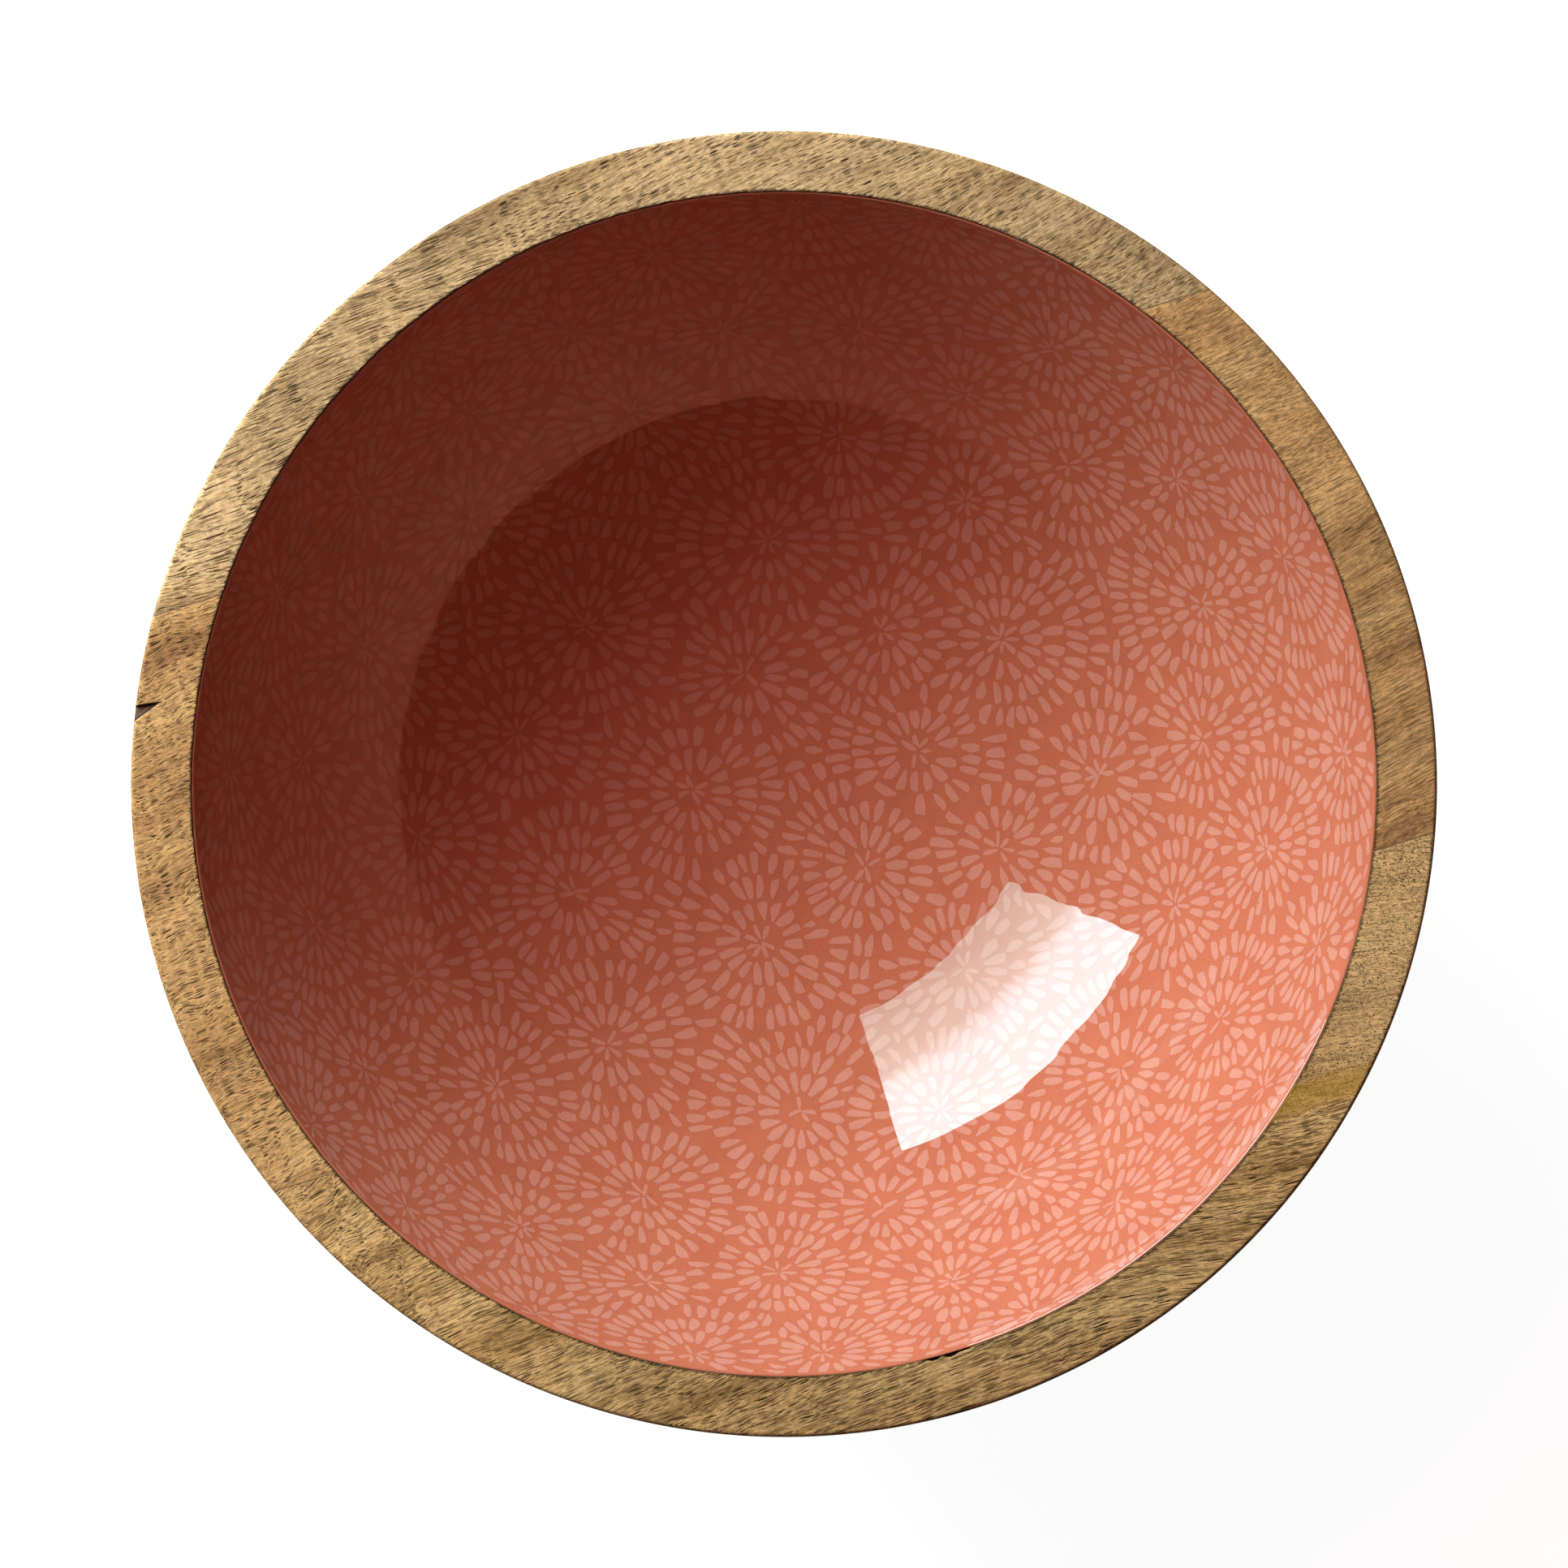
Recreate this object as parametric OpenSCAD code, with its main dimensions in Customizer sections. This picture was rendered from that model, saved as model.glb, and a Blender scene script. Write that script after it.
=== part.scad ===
// Turned wooden serving bowl with an enamelled, printed inside.
// Three boards are edge-glued into a blank, the blank is turned on a lathe, and the hollow
// is then lined with a coloured ground coat, a printed film and a clear gloss coat.
// Millimetres. The origin is the centre of the foot on the table, and +Z is up.

/* [Bowl] */
// Outside diameter at the widest point of the rim
bowl_d = 250; // [210:1:300]
// Height from the table to the top of the rim
bowl_h = 90; // [75:1:115]
// Width of the wooden rim, from the outside to the edge of the lining
rim_w = 11.5; // [8:0.1:16]
// Slope of the wall at the rim, in degrees from the horizontal
rim_slope = 66; // [58:0.5:76]
// Radius that rounds the outer edge of the rim
rim_round = 0.8; // [0.5:0.1:4]

/* [Hollow] */
// Thickness of the wooden floor on the axis, down to the table
floor_t = 16.5; // [12:0.1:20]
// How far the floor's flat pull reaches from the axis before the curve turns up
floor_reach = 58; // [50:1:72]
// How far the wall's straight pull reaches down from the rim before the curve turns in
wall_reach = 65; // [50:1:72]

/* [Outside] */
// Diameter of the flat foot, up to its rounded edge
foot_d = 88; // [78:1:100]
// Radius that rounds the edge of the foot
foot_round = 2; // [0.5:0.1:4]
// Slope of the belly where it leaves the foot, in degrees from the horizontal
foot_slope = 26; // [20:0.5:32]
// How far the belly's straight pull reaches out from the foot
belly_reach = 32; // [24:1:40]
// How far the outer wall's straight pull reaches down from the rim
outer_reach = 64; // [52:1:70]
// Diameter of the shallow recess turned into the foot
recess_d = 66; // [40:1:74]
// Depth of the recess in the foot
recess_h = 1.5; // [0.5:0.1:3]

/* [Boards] */
// Direction of the grain and of the glue lines, in degrees from +X
grain_angle = 17.2; // [0:0.1:45]
// Width of the middle board between the two glue lines
middle_board_w = 112; // [90:1:140]
// How far the middle board's centre line lies behind the bowl's axis
middle_board_shift = 10.4; // [0:0.1:20]
// Thickness of the glue in each joint
glue_t = 0.2; // [0.1:0.05:0.5]

/* [Lining] */
// Thickness of the coloured ground coat
ground_t = 0.2; // [0.2:0.05:0.6]
// Thickness of the printed film
print_t = 0.2; // [0.15:0.05:0.4]
// Thickness of the clear gloss coat
clear_t = 0.2; // [0.2:0.05:0.8]

/* [Hidden] */
// Number of straight steps along each free curve of the turned profile
curve_steps = 36;
// Number of straight steps along each rounded edge
edge_steps = 6;
// Number of sides with which the turned shapes are drawn
$fn = 180;

// Unit vector along a slope, and the one square to it that points out of the hollow
function along(slope) = [cos(slope), sin(slope)];
function outwards(slope) = [sin(slope), -cos(slope)];

// Place and direction at a share t of the way along a curve with four control points
function curve_point(p, t) =
    pow(1 - t, 3) * p[0] + 3 * pow(1 - t, 2) * t * p[1] + 3 * (1 - t) * t * t * p[2] + t * t * t * p[3];
function curve_way(p, t) =
    pow(1 - t, 2) * (p[1] - p[0]) + 2 * (1 - t) * t * (p[2] - p[1]) + t * t * (p[3] - p[2]);
function curve_slope(p, t) = let (way = curve_way(p, t)) atan2(way[1], way[0]);

// Points on an arc about c, from one slope to another
function arc(c, r, from, to) =
    [for (i = [0 : edge_steps]) c + r * outwards(from + (to - from) * i / edge_steps)];

function reversed(points) = [for (i = [len(points) - 1 : -1 : 0]) points[i]];

// The profile lies in the half plane of radius and height
hollow_edge = [bowl_d / 2 - rim_w, bowl_h];
hollow_curve = [
    [0, floor_t],
    [floor_reach, floor_t],
    hollow_edge - wall_reach * along(rim_slope),
    hollow_edge
];

rim_c = [bowl_d / 2 - rim_round, bowl_h - rim_round];
rim_foot = rim_c + rim_round * outwards(rim_slope);
foot_c = [foot_d / 2, foot_round];
foot_top = foot_c + foot_round * outwards(foot_slope);
outside_curve = [
    foot_top,
    foot_top + belly_reach * along(foot_slope),
    rim_foot - outer_reach * along(rim_slope),
    rim_foot
];
// Slopes of the table and of the top of the rim, as the profile runs over them
table_slope = 0;
rim_top_slope = 180;

// Places of the two glue lines, square to the grain and towards the rear
rear_joint = middle_board_shift + middle_board_w / 2;
front_joint = middle_board_shift - middle_board_w / 2;
// Half-length of a blank that covers the whole bowl
reach = bowl_d;

// The hollow's line from the axis to the rim, moved in by the coats that already lie on the wood
function hollow_line(inset) = concat(
    [for (i = [0 : curve_steps - 1]) let (t = i / curve_steps)
        curve_point(hollow_curve, t) - inset * outwards(curve_slope(hollow_curve, t))],
    [hollow_edge - [inset / sin(rim_slope), 0]]);

// The outside's line from the recess in the foot to the top of the rim
function outside_line() = concat(
    [[0, recess_h], [recess_d / 2 - recess_h, recess_h], [recess_d / 2, 0]],
    arc(foot_c, foot_round, table_slope, foot_slope),
    [for (i = [1 : curve_steps - 1]) curve_point(outside_curve, i / curve_steps)],
    arc(rim_c, rim_round, rim_slope, rim_top_slope));

// The whole turned wooden bowl, as if it were one board
module turned_wood() {
    rotate_extrude() polygon(concat(outside_line(), reversed(hollow_line(0))));
}

// The part of the turned wood between two planes along the grain
module wood_between(front, rear) {
    intersection() {
        turned_wood();
        rotate(grain_angle)
            translate([-reach, front, -reach])
            cube([2 * reach, rear - front, 2 * reach]);
    }
}

// One coat of the lining, between two depths measured from the wood
module coat(under, over) {
    rotate_extrude() polygon(concat(hollow_line(under), reversed(hollow_line(over))));
}

module rear_board() {
    color("#a98a58") wood_between(rear_joint + glue_t / 2, reach);
}

module middle_board() {
    color("#b08a56") wood_between(front_joint + glue_t / 2, rear_joint - glue_t / 2);
}

module front_board() {
    color("#a5834f") wood_between(-reach, front_joint - glue_t / 2);
}

module rear_glue_line() {
    color("#4a3520") wood_between(rear_joint - glue_t / 2, rear_joint + glue_t / 2);
}

module front_glue_line() {
    color("#4a3520") wood_between(front_joint - glue_t / 2, front_joint + glue_t / 2);
}

module ground_coat() {
    color("#c96a45") coat(0, ground_t);
}

module petal_print() {
    color("#d98a75") coat(ground_t, ground_t + print_t);
}

module clear_coat() {
    color("#f4e6df", 0.3) coat(ground_t + print_t, ground_t + print_t + clear_t);
}

rear_board();
middle_board();
front_board();
rear_glue_line();
front_glue_line();
ground_coat();
petal_print();
clear_coat();
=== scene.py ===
"""Looks of a turned wooden serving bowl with a printed, glossy enamel lining."""

import math

import bmesh
import bpy
import numpy as np
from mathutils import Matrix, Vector


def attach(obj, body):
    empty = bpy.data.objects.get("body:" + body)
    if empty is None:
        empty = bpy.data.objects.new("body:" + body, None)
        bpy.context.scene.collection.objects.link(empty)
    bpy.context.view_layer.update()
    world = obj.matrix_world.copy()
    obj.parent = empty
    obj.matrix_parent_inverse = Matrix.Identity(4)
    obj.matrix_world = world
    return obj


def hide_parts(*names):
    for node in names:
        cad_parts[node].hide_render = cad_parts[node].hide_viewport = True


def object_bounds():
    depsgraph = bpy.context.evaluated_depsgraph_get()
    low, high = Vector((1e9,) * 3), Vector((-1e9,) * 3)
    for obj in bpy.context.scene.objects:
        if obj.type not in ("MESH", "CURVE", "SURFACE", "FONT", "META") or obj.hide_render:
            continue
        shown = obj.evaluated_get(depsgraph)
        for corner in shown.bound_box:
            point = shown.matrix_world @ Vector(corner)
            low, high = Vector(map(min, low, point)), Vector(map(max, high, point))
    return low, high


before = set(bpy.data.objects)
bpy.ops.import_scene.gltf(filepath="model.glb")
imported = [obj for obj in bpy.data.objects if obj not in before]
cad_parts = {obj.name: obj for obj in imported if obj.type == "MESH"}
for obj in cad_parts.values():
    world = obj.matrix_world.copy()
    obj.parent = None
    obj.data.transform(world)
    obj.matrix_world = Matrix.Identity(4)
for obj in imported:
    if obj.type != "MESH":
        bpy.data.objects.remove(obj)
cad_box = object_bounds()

# One millimetre in scene units
MM = 0.001

# Sizes of the turned profile in millimetres, as in the solids
BOWL_R = min(abs(corner[axis]) for corner in cad_box for axis in (0, 1)) / MM
BOWL_H = cad_box[1][2] / MM
RIM_W = 11.5
RIM_SLOPE = 66.0
RIM_ROUND = 0.8
FLOOR_T = 16.5
FLOOR_REACH = 58.0
WALL_REACH = 65.0
FOOT_R = 44.0
FOOT_ROUND = 2.0
FOOT_SLOPE = 26.0
BELLY_REACH = 32.0
OUTER_REACH = 64.0
RECESS_R = 33.0
RECESS_H = 1.5

# Steps of the meshes: parts of a line, then degrees round the axis
HOLLOW_STEPS = 48
BELLY_STEPS = 60
FOOT_STEPS = 5
RIM_STEPS = 10
LIP_STEPS = 5
LINING_STEPS = 150
LINING_FINE_STEPS = 1200
WOOD_TURN = 0.5
POCKET_TURN = 0.12
SPLIT_TURN = 0.15
LINING_TURN = 0.75

# Points across the flat rim, finer near its inner edge: how many, and how far from that edge they meet
RIM_COARSE_COUNT = 22
RIM_FINE_COUNT = 12
RIM_COARSE_END = 1.6
RIM_FINE_START = 1.45

# Angles in degrees up to which faces are shaded smooth
SMOOTH = 35
ALL_SMOOTH = 180

# Distance that counts as touching
TOUCH = 0.01

# Boards: direction of the grain, and the places of the glue lines square to it
GRAIN_ANGLE = 17.2
MIDDLE_BOARD_W = 112.0
MIDDLE_BOARD_SHIFT = 10.4
REAR_JOINT = MIDDLE_BOARD_SHIFT + MIDDLE_BOARD_W / 2
FRONT_JOINT = MIDDLE_BOARD_SHIFT - MIDDLE_BOARD_W / 2
GLUE_T = 0.2

# Lining: all coats together, the rounded lip where they end at the rim, and the back just off the wood
LINING_T = 0.6
LIP_T = 0.32
LIP_REACH = 0.16
LIP_ROUND = 0.5
LINING_BACK = 0.02
BACK_BELOW_LIP = 0.2

# Bark pocket at the outer edge of the middle board, along and across the grain, and its angle in degrees
POCKET_FROM = -116.0
POCKET_L = 7.0
POCKET_V = 49.6
POCKET_RISE = 0.7
POCKET_HALF = 1.7
POCKET_DEPTH = 0.7
POCKET_EDGE = 0.4
POCKET_TOP = 3.0
POCKET_FADE = 2.2
POCKET_AT = 173.4
POCKET_SPAN = 2.4

# Split along the inner edge of the rim, with its angle in degrees
SPLIT_AT = -74.1
SPLIT_SPAN = 2.6
SPLIT_W = 0.75
SPLIT_DEPTH = 0.7
SPLIT_EDGE = 0.12

# Bridge across the split, as shares of its span and width, and the waves of its edge
BRIDGE_AT = -0.18
BRIDGE_HALF = 0.16
BRIDGE_LEFT = 0.1
SPLIT_WAVE = 0.25
SPLIT_WAVES = 9

# Small chips of the inner edge of the rim
CHIP_W = 0.14
CHIP_REACH = 0.6
CHIP_PITCH = 0.5
CHIP_SEED = 5

# Middle of the yellow stain in the front board, across the grain
STREAK_V = -86.5

# Pores of the wood: width of a slim cell, how much of it an open pore fills, its soft edge and its depth
PORE_W = 0.22
PORE_REACH = 0.46
PORE_EDGE = 0.07
PORE_DEPTH = 0.06

# Noises in the wood and the enamel: lengths along the grain and widths across it
BANDS = (140, 10)
STREAKS = (13, 0.7)
BLOTCHES = (16, 8)
RAYS = (0.4, 3.5)
FUZZ = (1.5, 0.36)
CROWDS = (30, 9)
RAGS = (1.4, 0.35)
WANDERS = (80, 45)
CURLS = (7, 12)
RIDGES = (17, 3.6)

# How far the lines of the grain wander and curl, and how far a crowd of pores moves the change of their kind
WANDER_BY = 13
CURL_BY = 1.3
CROWD_BY = 80.0

# Ends of a board, along the grain: where their tone starts to change and where it has changed
LEFT_END = (-65.0, -105.0)
RIGHT_END = (50.0, 100.0)
FAINT_END = (40.0, 95.0)
BLEACHED_END = (72.0, 96.0)

# Stain at the inner edge of the rim, and painted shade on wood below the rim's top: depths below the rim and
# distances from its edges
STAIN_AND_SHADE_DEPTH = 2.4
STAIN_REACH = 1.6
STAIN_START = 0.35
STAIN_FULL = 0.7
HOLE_SHADE_START = 0.15
HOLE_SHADE_FULL = 0.5
HOLE_SHADE_CLEAR = 1.4

# Enamel: sizes of its clouds, grit, specks and swells, and the height of its waves
CLOUD_SIZE = 9
GRIT_SCALE = 3.2
SPECK_PITCH = 19
SWELL_SIZE = 15
WAVE_H = 0.026

# Petal print: bursts of rings, and petals in the gaps
PETAL_SEED = 11
BURST_GAP = 24.5
BURST_TRIES = 6000
WHOLE_EVERY = 3
WHOLE_RINGS = (3, 4)
RINGS = 6
RING_PITCH = 4.35
RING_GROWTH = 0.02
RING_SWAY = 0.22
TRY_STEP = 0.45
EDGE_CLEAR = 0.3
GAP_TRIES = 12000
GAP_SIZES = (0.92, 0.8, 0.66)

# Petals of a ring
PETAL_L = 4.5
PETAL_W = 1.95
PETAL_GAP = 0.5
PETAL_SWAY = 0.1
PETAL_LIFT = 0.03
PETAL_SIDES = 12
CORNER_CUT = 0.14

# Innermost ring of a burst: radius, least and most petals, and how its petals compare with the others
CORE_R = 1.9
CORE_COUNT = (7, 8)
CORE_L = 0.66
CORE_W = 0.5
CORE_GAP = 0.1


# Profile

def along(slope):
    """Unit vector along a slope in degrees, in the half plane of radius and height."""
    return np.array([math.cos(math.radians(slope)), math.sin(math.radians(slope))])


def outwards(slope):
    """Unit vector square to a slope, pointing out of the hollow."""
    return np.array([math.sin(math.radians(slope)), -math.cos(math.radians(slope))])


def curve(points, steps):
    """Points and slopes along a curve with four control points."""
    t = np.linspace(0, 1, steps + 1)[:, None]
    place = (1 - t) ** 3 * points[0] + 3 * (1 - t) ** 2 * t * points[1]
    place += 3 * (1 - t) * t ** 2 * points[2] + t ** 3 * points[3]
    way = (1 - t) ** 2 * (points[1] - points[0]) + 2 * (1 - t) * t * (points[2] - points[1])
    way += t ** 2 * (points[3] - points[2])
    return place, np.arctan2(way[:, 1], way[:, 0])


def arc(centre, radius, start, end, steps):
    """Points on an arc about a centre, from one slope to another."""
    return np.array([centre + radius * outwards(s) for s in np.linspace(start, end, steps + 1)])


HOLLOW_EDGE = np.array([BOWL_R - RIM_W, BOWL_H])
HOLLOW_CURVE = np.array([
    [0.0, FLOOR_T],
    [FLOOR_REACH, FLOOR_T],
    HOLLOW_EDGE - WALL_REACH * along(RIM_SLOPE),
    HOLLOW_EDGE,
])


def hollow_line(inset, steps):
    """The hollow's line from the axis to the rim, moved in by an inset."""
    place, slope = curve(HOLLOW_CURVE, steps)
    return place - inset * np.stack([np.sin(slope), -np.cos(slope)], 1)


def outside_line():
    """The outside's line from the recess in the foot to the inner edge of the rim."""
    rim_c = np.array([BOWL_R - RIM_ROUND, BOWL_H - RIM_ROUND])
    rim_foot = rim_c + RIM_ROUND * outwards(RIM_SLOPE)
    foot_c = np.array([FOOT_R, FOOT_ROUND])
    foot_top = foot_c + FOOT_ROUND * outwards(FOOT_SLOPE)
    belly = np.array([
        foot_top,
        foot_top + BELLY_REACH * along(FOOT_SLOPE),
        rim_foot - OUTER_REACH * along(RIM_SLOPE),
        rim_foot,
    ])
    recess = np.array([[0.0, RECESS_H], [RECESS_R / 2, RECESS_H], [RECESS_R - RECESS_H, RECESS_H],
                       [RECESS_R, 0.0], [(RECESS_R + FOOT_R) / 2, 0.0]])
    coarse = np.linspace(BOWL_R - RIM_ROUND, HOLLOW_EDGE[0] + RIM_COARSE_END, RIM_COARSE_COUNT)
    fine = np.linspace(HOLLOW_EDGE[0] + RIM_FINE_START, HOLLOW_EDGE[0], RIM_FINE_COUNT)
    flat = np.array([[radius, BOWL_H] for radius in (*coarse, *fine)])
    return np.concatenate([
        recess,
        arc(foot_c, FOOT_ROUND, 0, FOOT_SLOPE, FOOT_STEPS),
        curve(belly, BELLY_STEPS)[0][1:-1],
        arc(rim_c, RIM_ROUND, RIM_SLOPE, 180, RIM_STEPS),
        flat[1:-1],
    ])


# Meshes

def lathe(profile, angles):
    """Vertices and faces of a profile swept round the axis, where its first and last point lie on it."""
    ring = profile[1:-1]
    count = len(angles)
    turn = np.stack([np.cos(angles), np.sin(angles)], 1)
    flat = ring[:, None, 0, None] * turn[None]
    height = np.broadcast_to(ring[:, None, 1, None], flat.shape[:2] + (1,))
    verts = np.concatenate([flat, height], 2).reshape(-1, 3)
    first, last = len(verts), len(verts) + 1
    verts = np.concatenate([verts, [[0, 0, profile[0, 1]], [0, 0, profile[-1, 1]]]])
    faces = []
    for j in range(count):
        k = (j + 1) % count
        faces.append((first, k, j))
        for i in range(len(ring) - 1):
            faces.append((i * count + j, i * count + k, (i + 1) * count + k, (i + 1) * count + j))
        top = (len(ring) - 1) * count
        faces.append((top + j, top + k, last))
    return verts, faces


def finish_mesh(mesh, smooth):
    """Outward normals and smooth shading up to an angle."""
    bm = bmesh.new()
    bm.from_mesh(mesh)
    bmesh.ops.recalc_face_normals(bm, faces=bm.faces)
    bm.to_mesh(mesh)
    bm.free()
    mesh.shade_smooth()
    mesh.set_sharp_from_angle(angle=math.radians(smooth))


def add_piece(name, mesh, material):
    """A piece of one material, riding on the bowl."""
    piece = bpy.data.objects.new(name, mesh)
    bpy.context.scene.collection.objects.link(piece)
    mesh.materials.append(material)
    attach(piece, "root")
    return piece


def mesh_object(name, verts, faces, material, smooth=SMOOTH):
    """A piece from vertices in millimetres and faces."""
    mesh = bpy.data.meshes.new(name)
    mesh.from_pydata((np.asarray(verts) * MM).tolist(), [], faces)
    mesh.validate()
    finish_mesh(mesh, smooth)
    return add_piece(name, mesh, material)


# Wood

def wood_angles():
    """Angles of the turned wood's steps, finer where the rim is damaged."""
    even = np.arange(-180, 180, WOOD_TURN)
    pocket = POCKET_AT + np.arange(-POCKET_SPAN, POCKET_SPAN, POCKET_TURN)
    split = SPLIT_AT + np.arange(-SPLIT_SPAN, SPLIT_SPAN, SPLIT_TURN)
    clear = (abs(even - POCKET_AT) > POCKET_SPAN) & (abs(even - SPLIT_AT) > SPLIT_SPAN)
    return np.radians(np.sort(np.concatenate([even[clear], pocket, split])))


def chip_widths(turn):
    """How far the inner edge of the rim is chipped away at some angles."""
    rng = np.random.default_rng(CHIP_SEED)
    knots = np.arange(-180, 180 + CHIP_PITCH, CHIP_PITCH)
    widths = CHIP_W * rng.random(len(knots)) ** 3
    return np.interp(turn, knots, widths)


def split_widths(turn):
    """How wide the split gapes at some angles: two slim openings with a bridge between them."""
    share = (turn - SPLIT_AT) / SPLIT_SPAN
    bridge = np.clip(abs(share - BRIDGE_AT) / BRIDGE_HALF, BRIDGE_LEFT, 1)
    opening = np.clip(1 - share ** 2, 0, 1) * bridge
    return SPLIT_W * opening * (1 - SPLIT_WAVE + SPLIT_WAVE * np.sin(SPLIT_WAVES * share))


def worn(verts):
    """The turned wood with its bark pocket, its split and its chipped inner edge."""
    x, y, z = verts.T
    radius = np.hypot(x, y)
    turn = np.degrees(np.arctan2(y, x))
    grain = math.radians(GRAIN_ANGLE)
    u = x * math.cos(grain) + y * math.sin(grain)
    v = y * math.cos(grain) - x * math.sin(grain)
    run = (u - POCKET_FROM) / POCKET_L
    inside = (1 - run) * POCKET_HALF - abs(v - POCKET_V - POCKET_RISE * run)
    near_top = np.clip((z - BOWL_H + POCKET_TOP) / POCKET_FADE, 0, 1)
    z = z - POCKET_DEPTH * np.clip(inside / POCKET_EDGE, 0, 1) * near_top
    from_edge = radius - HOLLOW_EDGE[0]
    on_rim = (verts[:, 2] > BOWL_H - TOUCH) & (from_edge > -TOUCH)
    z = z - SPLIT_DEPTH * np.clip((split_widths(turn) - from_edge) / SPLIT_EDGE, 0, 1) * on_rim
    moved = radius + chip_widths(turn) * np.clip(1 - from_edge / CHIP_REACH, 0, 1) * on_rim
    off_axis = np.maximum(radius, TOUCH)
    return np.stack([x * moved / off_axis, y * moved / off_axis, z], 1)


def wood_mesh():
    """Vertices and faces of the whole turned wood, as if it were one board."""
    hollow = hollow_line(0, HOLLOW_STEPS)[::-1]
    profile = np.concatenate([outside_line(), hollow])
    verts, faces = lathe(profile, wood_angles())
    return worn(verts), faces


def cut_board(name, front, rear, material):
    """The part of the turned wood between two planes along the grain, with flat cut faces."""
    verts, faces = WOOD
    mesh = bpy.data.meshes.new(name)
    mesh.from_pydata((verts * MM).tolist(), [], faces)
    bm = bmesh.new()
    bm.from_mesh(mesh)
    grain = math.radians(GRAIN_ANGLE)
    rearwards = Vector((-math.sin(grain), math.cos(grain), 0))
    for place, side in ((front, 1), (rear, -1)):
        if place is None:
            continue
        geometry = bm.verts[:] + bm.edges[:] + bm.faces[:]
        result = bmesh.ops.bisect_plane(bm, geom=geometry, plane_co=rearwards * place * MM,
                                        plane_no=rearwards * side, clear_inner=True)
        edges = [e for e in result["geom_cut"] if isinstance(e, bmesh.types.BMEdge)]
        bmesh.ops.triangle_fill(bm, use_beauty=True, edges=edges)
    bm.to_mesh(mesh)
    bm.free()
    finish_mesh(mesh, SMOOTH)
    return add_piece(name, mesh, material)


# Lining

def lining_line(steps):
    """The lining's visible line and its slopes, from the axis up to the lip, thinner towards the rim."""
    place, slope = curve(HOLLOW_CURVE, steps)
    share = np.clip((np.linspace(0, 1, steps + 1) - 1 + LIP_REACH) / LIP_REACH, 0, 1)
    inset = LINING_T + (LIP_T - LINING_T) * share ** 2 * (3 - 2 * share)
    place = place - inset[:, None] * np.stack([np.sin(slope), -np.cos(slope)], 1)
    slope = np.arctan2(np.gradient(place[:, 1]), np.gradient(place[:, 0]))
    below = place[:, 1] < BOWL_H - LIP_ROUND
    return place[below], slope[below]


def lip_line():
    """The rounded edge of the lining, from its wall over to the wood."""
    wall, slope = lining_line(LINING_FINE_STEPS)
    steep = math.degrees(slope[-1])
    centre = wall[-1] + LIP_ROUND * outwards(steep)
    return np.array([centre - LIP_ROUND * outwards(s) for s in np.linspace(steep, 0, LIP_STEPS + 1)[1:]])


def lining_mesh():
    """Vertices and faces of the closed lining: its visible side, its lip and its back on the wood."""
    front = lining_line(LINING_STEPS)[0]
    lip = lip_line()
    back = hollow_line(LINING_BACK, HOLLOW_STEPS)[::-1]
    back = back[back[:, 1] < lip[-1, 1] - BACK_BELOW_LIP]
    profile = np.concatenate([front, lip, back])
    return lathe(profile, np.radians(np.arange(0, 360, LINING_TURN)))


# Petals

class Lining:
    """The lining's visible side, unrolled: flat places are measured along it from the middle."""

    def __init__(self):
        place, self.slope = lining_line(LINING_FINE_STEPS)
        steps = np.hypot(*np.diff(place, axis=0).T)
        self.run = np.concatenate([[0], np.cumsum(steps)])
        self.radius, self.height = place.T
        self.stretch = np.ones(len(place))
        self.stretch[1:] = self.run[1:] / self.radius[1:]
        self.edge = self.run[-1]
        areas = np.concatenate([[0], np.cumsum((self.radius[1:] + self.radius[:-1]) / 2 * steps)])
        self.share = areas / areas[-1]

    def surface(self, flat, lift):
        """Points in space and normals for flat places, lifted off the lining."""
        run = np.minimum(np.hypot(flat[..., 0], flat[..., 1]), self.edge)
        turn = np.arctan2(flat[..., 1], flat[..., 0])
        slope = np.interp(run, self.run, self.slope)
        radius = np.interp(run, self.run, self.radius)
        height = np.interp(run, self.run, self.height)
        normal = np.stack([-np.sin(slope) * np.cos(turn), -np.sin(slope) * np.sin(turn), np.cos(slope)], -1)
        point = np.stack([radius * np.cos(turn), radius * np.sin(turn), height], -1)
        return point + lift * normal, normal

    def frame(self, flat):
        """Unit steps on the lining at flat places, as flat vectors: away from the middle, and round it."""
        run = np.hypot(flat[..., 0], flat[..., 1])
        turn = np.arctan2(flat[..., 1], flat[..., 0])
        stretch = np.interp(run, self.run, self.stretch)[..., None]
        away = np.stack([np.cos(turn), np.sin(turn)], -1)
        around = np.stack([-np.sin(turn), np.cos(turn)], -1)
        return away, around * stretch, stretch

    def random_places(self, rng, count):
        """Flat places drawn evenly over the lining's area."""
        run = np.interp(rng.random(count), self.share, self.run)
        turn = rng.uniform(-math.pi, math.pi, count)
        return np.stack([run * np.cos(turn), run * np.sin(turn)], 1)


class Taken:
    """Discs that petals already cover, kept in a coarse grid."""

    CELL = 2.8
    NEAR = [(i, j, k) for i in (-1, 0, 1) for j in (-1, 0, 1) for k in (-1, 0, 1)]

    def __init__(self):
        self.cells = {}

    def key(self, point):
        """The grid cell of a point."""
        return tuple(int(math.floor(c / self.CELL)) for c in point)

    def is_free(self, points, radii, gap):
        """Whether discs keep a gap to all that are there."""
        for point, radius in zip(points, radii):
            x, y, z = self.key(point)
            for i, j, k in self.NEAR:
                for other, other_radius in self.cells.get((x + i, y + j, z + k), ()):
                    if math.dist(point, other) < radius + other_radius + gap:
                        return False
        return True

    def add(self, points, radii):
        """Adds discs to the grid."""
        for point, radius in zip(points, radii):
            self.cells.setdefault(self.key(point), []).append((point, radius))


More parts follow.
